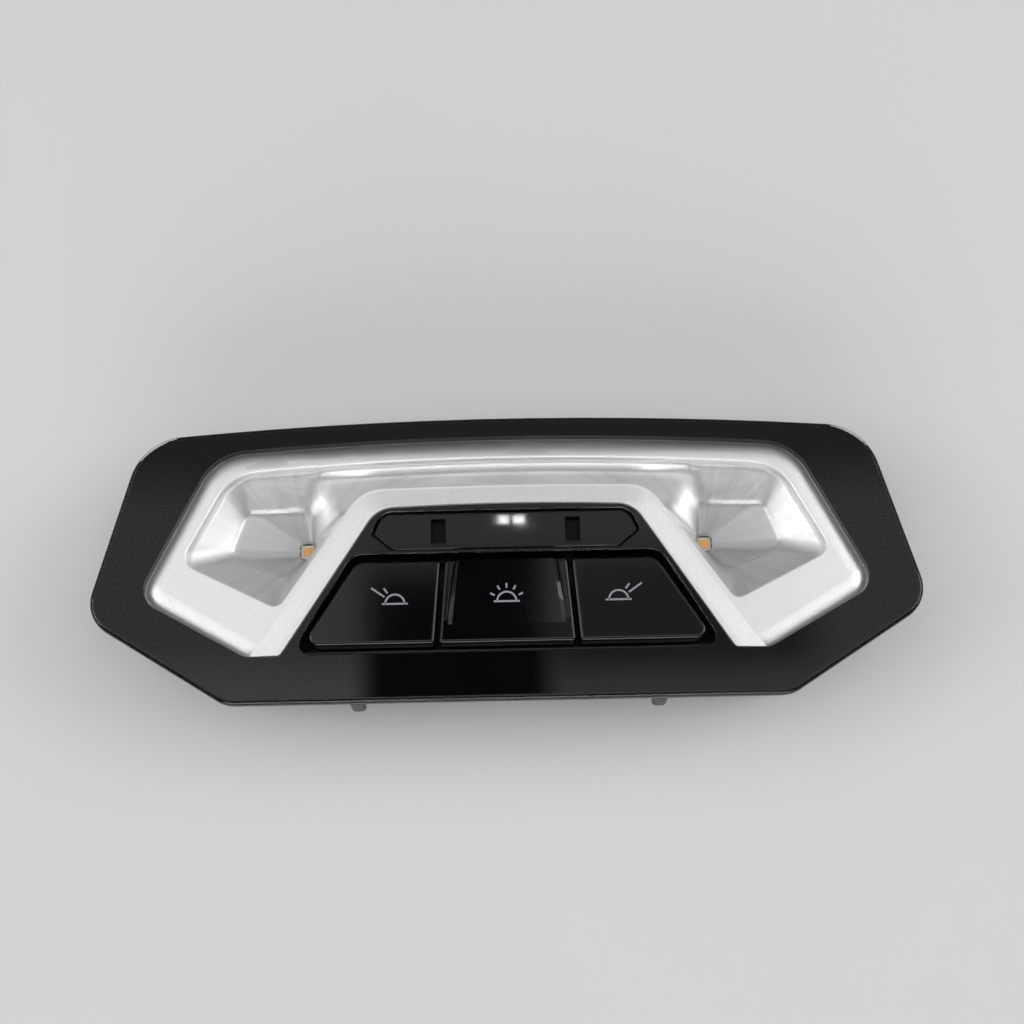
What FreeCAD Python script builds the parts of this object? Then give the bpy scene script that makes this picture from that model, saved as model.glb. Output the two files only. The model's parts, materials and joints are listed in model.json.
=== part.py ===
import FreeCAD, Part
import math
import os
import re
import Sketcher

# An interior reading light, lying on its back with the face up.
# X runs along the width, Y up the face, Z out of the face. The origin is the middle of the rear cover.

DIMENSIONS = {
    # Levels above the rear cover
    "front_level": 27.0,
    "cover_thick": 2.2,
    "backing_thick": 1.5,
    "trim_recess": 0.8,
    "trim_thick": 2.7,
    "deck_thick": 1.2,
    "board_level": 11.5,
    "board_thick": 1.6,
    "rear_thick": 2.0,
    # Outline of the face
    "half_height": 35.5,
    "crown_rise": 4.0,
    "shoulder_x": 89.4,
    "shoulder_round": 14.0,
    "corner_x": 101.45,
    "corner_y": -13.6,
    "corner_round": 9.0,
    "foot_x": 66.8,
    "foot_round": 8.0,
    "cover_edge_round": 1.2,
    "opening_edge_round": 0.35,
    "edge_reveal": 0.5,
    # Window in the black border
    "border_top": 4.5,
    "window_rise": 3.0,
    "window_top_x": 71.6,
    "window_top_round": 13.0,
    "window_side_x": 89.4,
    "window_side_y": -8.6,
    "window_side_round": 6.0,
    "lobe_x": 62.6,
    "lobe_y": -23.8,
    "lobe_round": 5.0,
    "tip_x": 54.2,
    "tip_round": 1.6,
    # Trapezoid of the key bezel inside the arch
    "bezel_top": 13.4,
    "bezel_rise": 0.8,
    "bezel_top_x": 31.2,
    "bezel_round": 7.0,
    "bezel_slope": 0.632,
    "rib_thick": 0.8,
    "collar_thick": 1.2,
    "collar_deep": 1.9,
    # Silver arch
    "trim_gap": 0.3,
    "trim_lip": 0.45,
    "trim_lip_thick": 0.7,
    "arch_round": 7.0,
    "arch_out": 2.2,
    "band_rise": 0.65,
    "band_wide": 4.6,
    "band_sink": 0.05,
    "crease_top": 18.3,
    "crease_rise": 0.6,
    "crease_top_x": 34.3,
    "crease_slope": 0.664,
    "crease_round": 9.0,
    # Opening for the lamp bowls
    "flange_wide": 5.4,
    "bowl_rise": 3.0,
    "flange_shift": 4.1,
    "bowl_top_round": 12.0,
    "bowl_side_x": 78.9,
    "bowl_side_y": 0.4,
    "bowl_side_round": 3.5,
    "bowl_tip_x": 55.2,
    "bowl_tip_y": -11.6,
    "bowl_tip_round": 2.5,
    "bowl_inner_x": 35.1,
    "bowl_inner_top": 18.9,
    "bowl_lip_round": 0.5,
    # Reflector
    "reflector_wall": 1.4,
    "reflector_rim": 1.8,
    "pocket_deep": 4.9,
    "channel_deep": 1.9,
    "aperture_rise": 1.1,
    "mouth_step": 0.6,
    "mouth_round": 5.0,
    "mouth_top_x": 40.6,
    "mouth_top_drop": 1.6,
    "mouth_low_x": 36.6,
    "mouth_low_y": 16.6,
    "ease_share": 0.49,
    "ease_out": 1.5,
    "channel_top_x": 47.1,
    "channel_top_drop": 1.5,
    "channel_low_x": 39.7,
    "channel_low_y": 11.9,
    "channel_slope": 2.2,
    "pocket_step": 0.4,
    "pocket_round": 3.2,
    "lamp_x": 49.6,
    "lamp_y": 5.8,
    "lamp_wide": 3.4,
    "lamp_tall": 0.7,
    "lamp_base_tall": 0.55,
    "emitter_wide": 2.4,
    # Corners of a bowl's pocket, from the lamp
    "pocket_foot_x": 6.0,
    "pocket_foot_y": -7.8,
    "pocket_side_x": 19.2,
    "pocket_side_y": -2.4,
    "pocket_top_x": 15.2,
    "pocket_top_y": 9.4,
    "pocket_inner_x": -1.6,
    "pocket_inner_y": 10.0,
    "pocket_low_x": -2.6,
    "pocket_low_y": -3.2,
    "aperture_half": 1.5,
    "aperture_dip": 0.3,
    "aperture_round": 0.5,
    # Key opening and keys
    "key_opening_top": 0.6,
    "key_opening_top_x": 37.4,
    "key_opening_top_round": 5.0,
    "key_opening_foot": -23.6,
    "key_opening_foot_x": 51.2,
    "key_opening_foot_round": 2.5,
    "key_recess": 0.3,
    "key_tall": 5.2,
    "key_wall": 1.4,
    "key_top": -1.0,
    "key_foot": -21.6,
    "key_split_top_x": 15.3,
    "key_split_foot_x": 16.9,
    "key_split_gap": 0.8,
    "key_outer_top_x": 36.3,
    "key_outer_foot_x": 49.4,
    "key_corner_round": 2.4,
    "key_edge_round": 0.9,
    "pad_top_x": 11.4,
    "pad_foot_x": 13.2,
    "pad_foot": -17.0,
    "pad_rise": 1.1,
    "pad_foot_rise": 0.05,
    "pad_flank": 1.1,
    "rail_top_x": 13.3,
    "rail_foot_x": 14.7,
    "rail_foot": -16.0,
    "rail_wide": 0.6,
    "rail_rise": 0.5,
    "rail_round": 0.28,
    "rail_edge_round": 0.15,
    "hinge_y": 4.0,
    "hinge_drop": 0.4,
    "pin_radius": 1.0,
    "pin_clearance": 0.05,
    "pin_length": 2.2,
    "middle_arm_x": 10.0,
    "inner_arm_x": 23.0,
    "outer_arm_x": 33.0,
    "arm_wide": 3.0,
    "arm_tall": 3.0,
    "ear_thick": 2.0,
    "ear_gap": 0.3,
    "carrier_wide": 5.0,
    "carrier_drop": 1.0,
    "carrier_thick": 1.6,
    "switch_y": -12.0,
    "side_switch_x": 27.0,
    # Upper strip
    "strip_top": 11.4,
    "strip_top_x": 30.2,
    "strip_top_round": 4.0,
    "strip_tip_x": 32.6,
    "strip_tip_y": 5.8,
    "strip_foot": 1.6,
    "strip_foot_x": 27.6,
    "strip_gap": 0.3,
    "strip_edge_round": 0.5,
    "strip_recess": 0.9,
    "strip_thick": 2.4,
    "strip_wall": 0.8,
    "strip_flange": 0.8,
    "strip_flange_thick": 1.0,
    "slot_x": 16.3,
    "slot_y": 6.35,
    "slot_wide": 3.6,
    "slot_high": 6.2,
    "slot_frame": 0.35,
    "slot_frame_rise": 0.25,
    "guide_recess": 1.7,
    "guide_clearance": 0.15,
    "guide_flange_thick": 1.2,
    # Switches and small electronics
    "key_lamp_wide": 1.6,
    "key_lamp_shift": 5.4,
    "chip_wide": 5.0,
    "chip_tall": 1.2,
    "can_x": 40.0,
    "can_radius": 2.2,
    "can_tall": 5.0,
    "switch_wide": 6.0,
    "switch_tall": 3.5,
    "plunger_radius": 1.7,
    "plunger_clearance": 0.08,
    "plunger_gap": 0.05,
    "post_radius": 1.1,
    # Housing
    "flange_inset": 2.0,
    "tub_inset": 5.0,
    "tub_wall": 2.0,
    "well_clearance": 0.15,
    "ledge_wide": 2.6,
    "hook_x": 36.5,
    "hook_wide": 3.5,
    "hook_inset": 0.8,
    "hook_level": 12.0,
    "hook_round": 1.0,
    "upper_boss_x": 80.0,
    "upper_boss_y": 20.0,
    "lower_boss_x": 84.0,
    "lower_boss_y": -8.5,
    "boss_radius": 3.4,
    "rib_width": 1.6,
    "board_clearance": 0.4,
    "notch_gap": 0.3,
    # Screws
    "screw_radius": 1.5,
    "screw_length": 15.0,
    "screw_clearance": 0.06,
    "head_radius": 2.8,
    "head_tall": 1.8,
    "head_level": 0.4,
    "head_clearance": 0.25,
    "recess_radius": 1.1,
    "way_clearance": 0.2,
    "pilot_spare": 0.5,
    "post_wall": 4.0,
    # Socket for the plug
    "socket_half_wide": 8.0,
    "socket_recess": 0.5,
    "socket_length": 13.0,
    "socket_tall": 7.0,
    "socket_wall": 1.3,
    "socket_depth": 9.5,
    "contact_count": 4,
    "contact_pitch": 2.5,
    "contact_wide": 0.64,
    "contact_reach": 4.6,
    "contact_clearance": 0.02,
    "contact_hole_radius": 0.5,
    # Spring clips
    "clip_x": 50.0,
    "clip_wide": 10.0,
    "clip_thick": 0.6,
    "clip_foot": 5.0,
    "clip_top": 17.5,
    "clip_bulge": 3.0,
    "clip_pad_out": 0.1,
    "clip_margin": 1.0,
}

# Levels and places that follow from the dimensions and from each other
WORKED_OUT = {
    "cover_back": "front_level - cover_thick",
    "backing_back": "cover_back - backing_thick",
    "trim_level": "cover_back - trim_recess",
    "trim_foot": "trim_level - trim_thick",
    "lip_top": "trim_foot + trim_lip_thick",
    "band_level": "trim_level + band_rise",
    "deck_back": "trim_foot - deck_thick",
    "collar_level": "backing_back - collar_deep",
    "channel_level": "trim_foot - channel_deep",
    "pocket_level": "trim_foot - pocket_deep",
    "aperture_level": "board_level + aperture_rise",
    "board_back": "board_level - board_thick",
    "key_level": "front_level - key_recess",
    "key_skirt_level": "key_level - key_tall",
    "strip_level": "front_level - strip_recess",
    "strip_back": "strip_level - strip_thick",
    "strip_flange_back": "collar_level - strip_flange_thick",
    "guide_level": "strip_level - guide_recess",
    "hinge_level": "strip_flange_back - hinge_drop - arm_tall / 2",
    "carrier_level": "hinge_level - arm_tall / 2 - carrier_drop",
    "screw_top": "head_level + head_tall + screw_length",
    "window_top": "half_height - border_top",
    "bezel_cut": "lobe_y - 4 * rib_thick",
    "bowl_top": "window_top - flange_wide",
    "bowl_top_x": "window_top_x - flange_shift",
    "mouth_top_y": "bowl_top - mouth_top_drop",
    "channel_top_y": "bowl_top - channel_top_drop",
    "tub_inner": "-tub_inset - tub_wall",
    "rear_rim": "tub_inner - well_clearance",
    "hook_end": "-half_height + hook_inset",
    "clip_pad_y": "half_height - tub_inset + clip_pad_out",
    "clip_face": "clip_pad_y + clip_thick",
    "clip_middle": "(clip_foot + clip_top) / 2",
    "notch_wide": "2 * (socket_half_wide + notch_gap)",
    "socket_mouth_y": "half_height - tub_inset - socket_recess",
    "socket_back": "socket_mouth_y - socket_length",
    "socket_floor": "board_back - socket_tall",
    "contact_level": "board_back - socket_tall / 2",
}

doc = FreeCAD.newDocument("reading_light")
sheet = doc.addObject("Spreadsheet::Sheet", "sheet")
for row, (alias, number) in enumerate(DIMENSIONS.items(), start=1):
    sheet.set(f"A{row}", alias)
    sheet.set(f"B{row}", str(number))
    sheet.setAlias(f"B{row}", alias)
doc.recompute()

SIDES = {"left": -1, "right": 1}
# Cutting tools run past an outer face by PAST, and past a face they share with another solid by SKIN
PAST = 1
SKIN = 0.01
NODES = {}


def linked(formula):
    """Turns the names in a formula into references to the sheet's cells."""
    def reference(word):
        name = word.group()
        if name in WORKED_OUT:
            return f"({linked(WORKED_OUT[name])})"
        return f"sheet.{name}" if name in DIMENSIONS else name
    return re.sub(r"[a-z_]+", reference, str(formula))


def size(formula):
    """Gives the number that a formula has with the sheet as it stands."""
    return float(sheet.evalExpression(linked(formula)))


def bind(thing, **formulas):
    """Binds properties of an object to formulas; a double underscore stands for a dot."""
    for path, formula in formulas.items():
        thing.setExpression(path.replace("__", "."), linked(formula))
    return thing


def vector(x, y, z=0.0):
    return FreeCAD.Vector(x, y, z)


# Outlines


def mirrored(right_corners):
    """Adds the left half to corners listed anticlockwise from the right foot up to the middle."""
    left_corners = []
    for x, y, rounding in reversed(right_corners):
        left_corners.append((f"-({x})", y, rounding))
    return right_corners + left_corners


def crown_radius(half_width, rise):
    return f"(({half_width})^2 + ({rise})^2) / (2 * ({rise}))"


def rounded_corner(before, corner, after, radius):
    """Gives the two tangent points of a rounded corner, its centre and whether it turns left."""
    back = (before - corner).normalize()
    ahead = (after - corner).normalize()
    half_angle = back.getAngle(ahead) / 2
    reach = radius / math.tan(half_angle)
    centre = corner + (back + ahead).normalize() * (radius / math.sin(half_angle))
    turns_left = back.cross(ahead).z < 0
    return corner + back * reach, corner + ahead * reach, centre, turns_left


def arc_between(start, end, centre):
    """Makes the anticlockwise arc from start to end."""
    radius = (start - centre).Length
    first = math.atan2(start.y - centre.y, start.x - centre.x)
    last = math.atan2(end.y - centre.y, end.x - centre.x)
    if last < first:
        last += 2 * math.pi
    return Part.ArcOfCircle(Part.Circle(centre, vector(0, 0, 1), radius), first, last)


def draw_outline(sketch, corners, crowns=()):
    """Draws a closed outline whose corners and radii are bound to the sheet.

    corners: (x, y, rounding) formulas, anticlockwise; rounding None leaves the corner sharp.
    crowns: {index of the edge that starts at that corner: radius formula}; such an edge bows towards +Y.
    """
    crowns = dict(crowns)
    count = len(corners)
    places = [vector(size(x), size(y)) for x, y, _ in corners]
    starts, ends, turns = [], [], []
    for i in range(count):
        rounding = corners[i][2]
        if rounding is None:
            starts.append(places[i])
            ends.append(places[i])
            turns.append(None)
            continue
        arrival, departure, centre, left = rounded_corner(
            places[i - 1], places[i], places[(i + 1) % count], size(rounding))
        ends.append(arrival)
        starts.append(departure)
        turns.append((centre, left))

    # An edge is kept with the numbers of its first and last point
    edges = []
    for i in range(count):
        first, last = starts[i], ends[(i + 1) % count]
        if i not in crowns:
            edges.append((sketch.addGeometry(Part.LineSegment(first, last), False), 1, 2))
            continue
        radius = size(crowns[i])
        half = abs(first.x - last.x) / 2
        centre = vector((first.x + last.x) / 2, first.y - math.sqrt(radius**2 - half**2))
        runs_left = last.x < first.x
        arc = arc_between(first, last, centre) if runs_left else arc_between(last, first, centre)
        number = sketch.addGeometry(arc, False)
        edges.append((number, 1, 2) if runs_left else (number, 2, 1))
        held = sketch.addConstraint(Sketcher.Constraint("Radius", number, radius))
        sketch.setExpression(f"Constraints[{held}]", linked(crowns[i]))

    for i in range(count):
        before, _, before_end = edges[i - 1]
        after, after_start, _ = edges[i]
        x, y, rounding = corners[i]
        if rounding is None:
            sketch.addConstraint(Sketcher.Constraint("Coincident", before, before_end, after, after_start))
            held_point = (after, after_start)
        else:
            centre, left = turns[i]
            if left:
                arc = arc_between(ends[i], starts[i], centre)
            else:
                arc = arc_between(starts[i], ends[i], centre)
            number = sketch.addGeometry(arc, False)
            arrival, departure = (1, 2) if left else (2, 1)
            sketch.addConstraint(Sketcher.Constraint("Tangent", before, before_end, number, arrival))
            sketch.addConstraint(Sketcher.Constraint("Tangent", number, departure, after, after_start))
            held = sketch.addConstraint(Sketcher.Constraint("Radius", number, size(rounding)))
            sketch.setExpression(f"Constraints[{held}]", linked(rounding))
            point = sketch.addGeometry(Part.Point(places[i]), True)
            sketch.addConstraint(Sketcher.Constraint("PointOnObject", point, 1, before))
            sketch.addConstraint(Sketcher.Constraint("PointOnObject", point, 1, after))
            held_point = (point, 1)
        for kind, formula in (("DistanceX", x), ("DistanceY", y)):
            held = sketch.addConstraint(Sketcher.Constraint(kind, -1, 1, *held_point, size(formula)))
            sketch.setExpression(f"Constraints[{held}]", linked(formula))
    return sketch


def outline(name, corners, crowns=(), level=None):
    sketch = doc.addObject("Sketcher::SketchObject", name)
    draw_outline(sketch, corners, crowns)
    if level is not None:
        bind(sketch, Placement__Base__z=level)
    return sketch


def grown(name, profile, amount):
    """Moves an outline outwards by an amount, or inwards if it is negative."""
    offset = doc.addObject("Part::Offset2D", name)
    offset.Source = profile
    return bind(offset, Value=amount)


# Solids


def prism(name, profile, bottom, top):
    solid = doc.addObject("Part::Extrusion", name)
    solid.Base = profile
    solid.DirMode = "Custom"
    solid.Dir = vector(0, 0, 1)
    solid.Solid = True
    return bind(solid, LengthFwd=top, LengthRev=f"-({bottom})")


def block(name, x_span, y_span, z_span):
    """Makes a box from the low and high formula along each axis."""
    solid = doc.addObject("Part::Box", name)
    bind(solid, Placement__Base__x=x_span[0], Placement__Base__y=y_span[0], Placement__Base__z=z_span[0])
    for side, span in (("Length", x_span), ("Width", y_span), ("Height", z_span)):
        bind(solid, **{side: f"({span[1]}) - ({span[0]})"})
    return solid


def around(middle, width):
    return f"({middle}) - ({width}) / 2", f"({middle}) + ({width}) / 2"


def post(name, x, y, radius, bottom, top):
    """Makes an upright cylinder."""
    solid = doc.addObject("Part::Cylinder", name)
    bind(solid, Radius=radius, Height=f"({top}) - ({bottom})")
    return bind(solid, Placement__Base__x=x, Placement__Base__y=y, Placement__Base__z=bottom)


def cross_pin(name, x_span, y, z, radius):
    """Makes a cylinder that lies along X."""
    solid = doc.addObject("Part::Cylinder", name)
    solid.Placement = FreeCAD.Placement(vector(0, 0), FreeCAD.Rotation(vector(0, 1, 0), 90))
    bind(solid, Radius=radius, Height=f"({x_span[1]}) - ({x_span[0]})")
    return bind(solid, Placement__Base__x=x_span[0], Placement__Base__y=y, Placement__Base__z=z)


def joined(name, solids):
    whole = doc.addObject("Part::MultiFuse", name)
    whole.Shapes = solids
    whole.Refine = True
    return whole


def less(name, base, tools):
    """Cuts one or more tools from a base."""
    cut = doc.addObject("Part::Cut", name)
    cut.Base = base
    cut.Tool = tools[0] if len(tools) == 1 else joined(f"{name}_tools", tools)
    cut.Refine = True
    return cut


def paired(kind, name, first, second):
    """Makes a boolean of two solids: kind is Fuse or Common."""
    result = doc.addObject(f"Part::{kind}", name)
    result.Base = first
    result.Tool = second
    result.Refine = True
    return result


def loft(name, sections):
    solid = doc.addObject("Part::Loft", name)
    solid.Sections = sections
    solid.Solid = True
    solid.Ruled = True
    return solid


def other_side(name, solid):
    """Mirrors a solid to the other side of the middle plane."""
    copy = doc.addObject("Part::Mirroring", name)
    copy.Source = solid
    copy.Normal = vector(1, 0, 0)
    copy.Base = vector(0, 0, 0)
    return copy


def group(name, solids):
    gathered = doc.addObject("Part::Compound", name)
    gathered.Links = solids
    return gathered


def node(name, solid):
    """Keeps an object as a sub-part under its node name."""
    solid.Label = name
    NODES[name] = solid
    return solid


# Edges and their rounding


def edges_where(feature, test):
    doc.recompute()
    return [f"Edge{i}" for i, edge in enumerate(feature.Shape.Edges, start=1) if test(edge)]


def at_level(edge, level):
    box = edge.BoundBox
    return abs(box.ZMin - size(level)) < 1e-4 and abs(box.ZMax - size(level)) < 1e-4


def middle_of(edge):
    return edge.valueAt((edge.FirstParameter + edge.LastParameter) / 2)


def runs_along(edge, profile):
    """Tells whether an edge follows a flat profile, seen from above."""
    place = middle_of(edge)
    flat = Part.Vertex(place.x, place.y, 0)
    return flat.distToShape(profile.Shape)[0] < 0.01


def body_from(name, base):
    """Starts a body from a solid, so that its edges can be rounded by bound features."""
    body = doc.addObject("PartDesign::Body", f"{name}_body")
    body.BaseFeature = base
    doc.recompute()
    return body


def rounded(body, radius, test):
    """Rounds the edges of a body's tip that pass the test."""
    tip = body.Tip
    names = edges_where(tip, test)
    fillet = body.newObject("PartDesign::Fillet", f"{body.Name}_round")
    fillet.Base = (tip, names)
    bind(fillet, Radius=radius)
    body.Tip = fillet
    doc.recompute()
    return body


def sloped(body, across, down, test):
    """Slopes the edges of a body's tip that pass the test, by a width across and a height down."""
    tip = body.Tip
    chamfer = body.newObject("PartDesign::Chamfer", f"{body.Name}_slope")
    chamfer.Base = (tip, edges_where(tip, test))
    chamfer.ChamferType = "Two distances"
    bind(chamfer, Size=down, Size2=across)
    body.Tip = chamfer
    doc.recompute()
    return body


# Master outlines of the face

FACE_CORNERS = mirrored([
    ("foot_x", "-half_height", "foot_round"),
    ("corner_x", "corner_y", "corner_round"),
    ("shoulder_x", "half_height - crown_rise", "shoulder_round"),
])
face = outline("face_outline", FACE_CORNERS, {2: crown_radius("shoulder_x", "crown_rise")})

ARCH_SIDE = [
    ("window_side_x", "window_side_y", "window_side_round"),
    ("window_top_x", "window_top - window_rise", "window_top_round"),
]
ARCH_CROWN = crown_radius("window_top_x", "window_rise")
window = outline(
    "window_outline",
    mirrored([
        ("bezel_top_x", "bezel_top - bezel_rise", "bezel_round"),
        ("tip_x", "lobe_y", "tip_round"),
        ("lobe_x", "lobe_y", "lobe_round"),
    ] + ARCH_SIDE),
    {4: ARCH_CROWN, 9: crown_radius("bezel_top_x", "bezel_rise")})
well = outline(
    "well_outline",
    mirrored([("lobe_x", "lobe_y - rib_thick", "lobe_round")] + ARCH_SIDE),
    {2: ARCH_CROWN})


def trapezoid(name, top_x, top, rise, slope, rounding):
    """Draws the outline of the bezel or of the crease, wider towards its foot."""
    shoulder = f"({top}) - ({rise})"
    foot_x = f"({top_x}) + ({slope}) * ({shoulder} - (bezel_cut))"
    corners = mirrored([(foot_x, "bezel_cut", None), (top_x, shoulder, rounding)])
    return outline(name, corners, {1: crown_radius(top_x, rise)})


key_opening = outline("key_opening", mirrored([
    ("key_opening_foot_x", "key_opening_foot", "key_opening_foot_round"),
    ("key_opening_top_x", "key_opening_top", "key_opening_top_round"),
]))
strip_opening = outline("strip_opening", mirrored([
    ("strip_foot_x", "strip_foot", "strip_top_round / 2"),
    ("strip_tip_x", "strip_tip_y", "strip_top_round / 4"),
    ("strip_top_x", "strip_top", "strip_top_round"),
]))
bowl_opening = outline(
    "bowl_opening",
    mirrored([
        ("bowl_inner_x", "bowl_inner_top - crease_rise", "crease_round"),
        ("bowl_tip_x", "bowl_tip_y", "bowl_tip_round"),
        ("bowl_side_x", "bowl_side_y", "bowl_side_round"),
        ("bowl_top_x", "bowl_top - bowl_rise", "bowl_top_round"),
    ]),
    {3: crown_radius("bowl_top_x", "bowl_rise"), 7: crown_radius("bowl_inner_x", "crease_rise")})


def opening_cuts(owner, bottom, top):
    """Makes the tools that open a layer for the keys and the upper strip."""
    return [
        prism(f"{owner}_key_cut", key_opening, bottom, top),
        prism(f"{owner}_strip_cut", strip_opening, bottom, top),
    ]


# Clear cover

cover_plate = prism("cover_plate", face, "cover_back", "front_level")
cover_cut = less("cover_cut", cover_plate, opening_cuts("cover", "collar_level", f"front_level + {PAST}"))
cover = node("clear_cover", body_from("clear_cover", cover_cut))
rounded(cover, "cover_edge_round", lambda edge: at_level(edge, "front_level") and runs_along(edge, face))
rounded(cover, "opening_edge_round", lambda edge: at_level(edge, "front_level") and (
    runs_along(edge, key_opening) or runs_along(edge, strip_opening)))

# Black backing: border, bezel and the collars round its openings

backing_layers = [
    prism("backing_plate", grown("backing_outline", face, "-edge_reveal"), "backing_back", "cover_back"),
    prism("window_rib", grown("rib_outline", window, "rib_thick"), "lip_top", "backing_back"),
    prism("key_collar", grown("key_collar_outline", key_opening, "collar_thick"),
          "collar_level", "backing_back"),
    prism("strip_collar", grown("strip_collar_outline", strip_opening, "collar_thick"),
          "collar_level", "backing_back"),
]
backing_cuts = opening_cuts("backing", f"collar_level - {PAST}", "front_level")
backing_cuts.append(prism("window_cut", window, f"collar_level - {PAST}", "front_level"))
node("black_backing", less("backing_cut", joined("backing_layers", backing_layers), backing_cuts))

# Silver arch: a wide shoulder, of which the outline keeps the upper part, a sloped band beside the bezel
# and a lip round the bowls

trim_outline = grown("trim_outline", window, "-trim_gap")
crease = trapezoid("crease_outline", "crease_top_x", "crease_top", "crease_rise",
                   "crease_slope", "crease_round")
bezel = trapezoid("bezel_outline", "bezel_top_x", "bezel_top", "bezel_rise", "bezel_slope", "bezel_round")
trim_column = body_from("trim_column", prism("trim_hill", crease, "trim_foot", "band_level"))
sloped(trim_column, "band_wide", "band_rise + band_sink",
       lambda edge: at_level(edge, "band_level") and middle_of(edge).y > size("bezel_cut + rib_thick"))
band_limit = grown("band_limit", window, "-trim_gap - band_sink")
trim_band = paired("Common", "trim_band", trim_column,
                   prism("trim_band_limit", band_limit, "trim_foot", "front_level"))
trim_lip = less(
    "trim_lip_ring",
    prism("trim_lip_plate", grown("trim_lip_outline", well, "trim_lip"), "trim_foot", "lip_top"),
    [prism("trim_lip_cut", grown("trim_lip_limit", bezel, "collar_thick"),
           f"trim_foot - {PAST}", "front_level")])
arch = body_from("arch", prism("arch_block", grown("arch_outline", well, "arch_out"),
                               "trim_foot - arch_round", "trim_level"))
rounded(arch, "arch_round", lambda edge: at_level(edge, "trim_level"))
trim_plate = paired("Common", "trim_plate", arch,
                    prism("trim_slab", trim_outline, "trim_foot", "front_level"))
trim_face = paired("Fuse", "trim_face", trim_plate, trim_band)
trim_cut = less(
    "trim_cut",
    paired("Fuse", "trim_layers", trim_face, trim_lip),
    [prism("bowl_cut", bowl_opening, f"trim_foot - {PAST}", "front_level")])
trim = node("silver_trim", body_from("silver_trim", trim_cut))
rounded(trim, "bowl_lip_round",
        lambda edge: at_level(edge, "trim_level") and runs_along(edge, bowl_opening))

# Reflector: two bowls, each with a pocket that narrows to its lamp, and a channel between them


def shaped_section(name, corners, level, growth):
    """Makes one section of a bowl, grown by a wall for the outside of the piece."""
    section = outline(name, corners, level=level)
    return section if growth is None else grown(f"{name}_grown", section, growth)


BOWL_MOUTH = [
    ("bowl_tip_x", "bowl_tip_y", "bowl_tip_round"),
    ("bowl_side_x", "bowl_side_y", "bowl_side_round"),
    ("bowl_top_x - mouth_step", "bowl_top - bowl_rise", "2 * mouth_round"),
    ("mouth_top_x", "mouth_top_y", "mouth_round"),
    ("mouth_low_x", "mouth_low_y", "mouth_round"),
]
BOWL_POCKET = [(f"lamp_x + pocket_{place}_x", f"lamp_y + pocket_{place}_y", "pocket_round")
               for place in ("foot", "side", "top", "inner", "low")]


def eased(mouth_corner, pocket_corner, outward):
    """Gives a corner on the way from the mouth to the pocket, moved outwards from the middle."""
    x, y, rounding = (f"({start}) + ease_share * (({end}) - ({start}))"
                      for start, end in zip(mouth_corner, pocket_corner))
    return f"{x} + {outward}", y, rounding


# The last two corners of a bowl lie beside the channel
EASE_OUT = ["0", "0", "0", "ease_out", "ease_out"]
BOWL_EASE = [eased(*corner) for corner in zip(BOWL_MOUTH, BOWL_POCKET, EASE_OUT)]
BOWL_APERTURE = [
    ("lamp_x + aperture_half / 2", "lamp_y - aperture_half - aperture_dip", "aperture_round"),
    ("lamp_x + aperture_half", "lamp_y - aperture_half + aperture_dip", "aperture_round"),
    ("lamp_x + aperture_half", "lamp_y + aperture_half", "aperture_round"),
    ("lamp_x - aperture_half", "lamp_y + aperture_half", "aperture_round"),
    ("lamp_x - aperture_half", "lamp_y - aperture_half", "aperture_round"),
]


def bowl_funnel(name, growth, drop):
    """Makes the inside of a bowl, or with a growth its outside; drop lowers its lamp end."""
    mouth = shaped_section(f"{name}_mouth", BOWL_MOUTH, "trim_foot", growth)
    ease = shaped_section(f"{name}_ease", BOWL_EASE, "trim_foot - ease_share * pocket_deep", growth)
    pocket = shaped_section(f"{name}_pocket", BOWL_POCKET, "pocket_level", growth)
    step = shaped_section(f"{name}_step", BOWL_POCKET, "pocket_level - pocket_step", growth)
    aperture = shaped_section(f"{name}_aperture", BOWL_APERTURE, f"aperture_level - {drop}", growth)
    return loft(f"{name}_bowl", [mouth, ease, pocket, step, aperture])


def channel_section(name, level, lowered):
    """Draws the channel between the bowls; its upper wall is lowered by an amount."""
    top_y = f"channel_top_y - {lowered}"
    corners = mirrored([
        ("bowl_inner_x", "bowl_inner_top - crease_rise", "crease_round"),
        ("channel_low_x", "channel_low_y", None),
        ("channel_top_x", top_y, None),
    ])
    return outline(name, corners, {
        2: crown_radius("channel_top_x", "bowl_top - channel_top_y"),
        5: crown_radius("bowl_inner_x", "crease_rise"),
    }, level)


channel = channel_section("channel_outline", 0, 0)
channel_cut = loft("channel_cut", [
    channel_section("channel_mouth", f"trim_foot + {SKIN}", 0),
    channel_section("channel_floor", "channel_level", "channel_slope"),
])
outer_bowl = bowl_funnel("outer", "reflector_wall", 0)
inner_bowl = bowl_funnel("inner", None, SKIN)
reflector_shell = joined("reflector_shell", [
    prism("rim_plate", grown("rim_outline", bowl_opening, "reflector_rim"), "deck_back", "trim_foot"),
    prism("channel_shell", grown("channel_shell_outline", channel, "reflector_wall"),
          "channel_level - reflector_wall", "trim_foot"),
    outer_bowl,
    other_side("outer_bowl_left", outer_bowl),
])
reflector_cut = less("reflector_cut", reflector_shell, [
    channel_cut,
    inner_bowl,
    other_side("inner_bowl_left", inner_bowl),
])
node("reflector", reflector_cut)

# Upper strip with two framed slots, held by a flange below its collar, and the guides that close the slots


def slot_block(name, side, growth, z_span):
    return block(
        name,
        around(f"{side} * slot_x", f"slot_wide + 2 * ({growth})"),
        around("slot_y", f"slot_high + 2 * ({growth})"),
        z_span)


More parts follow.
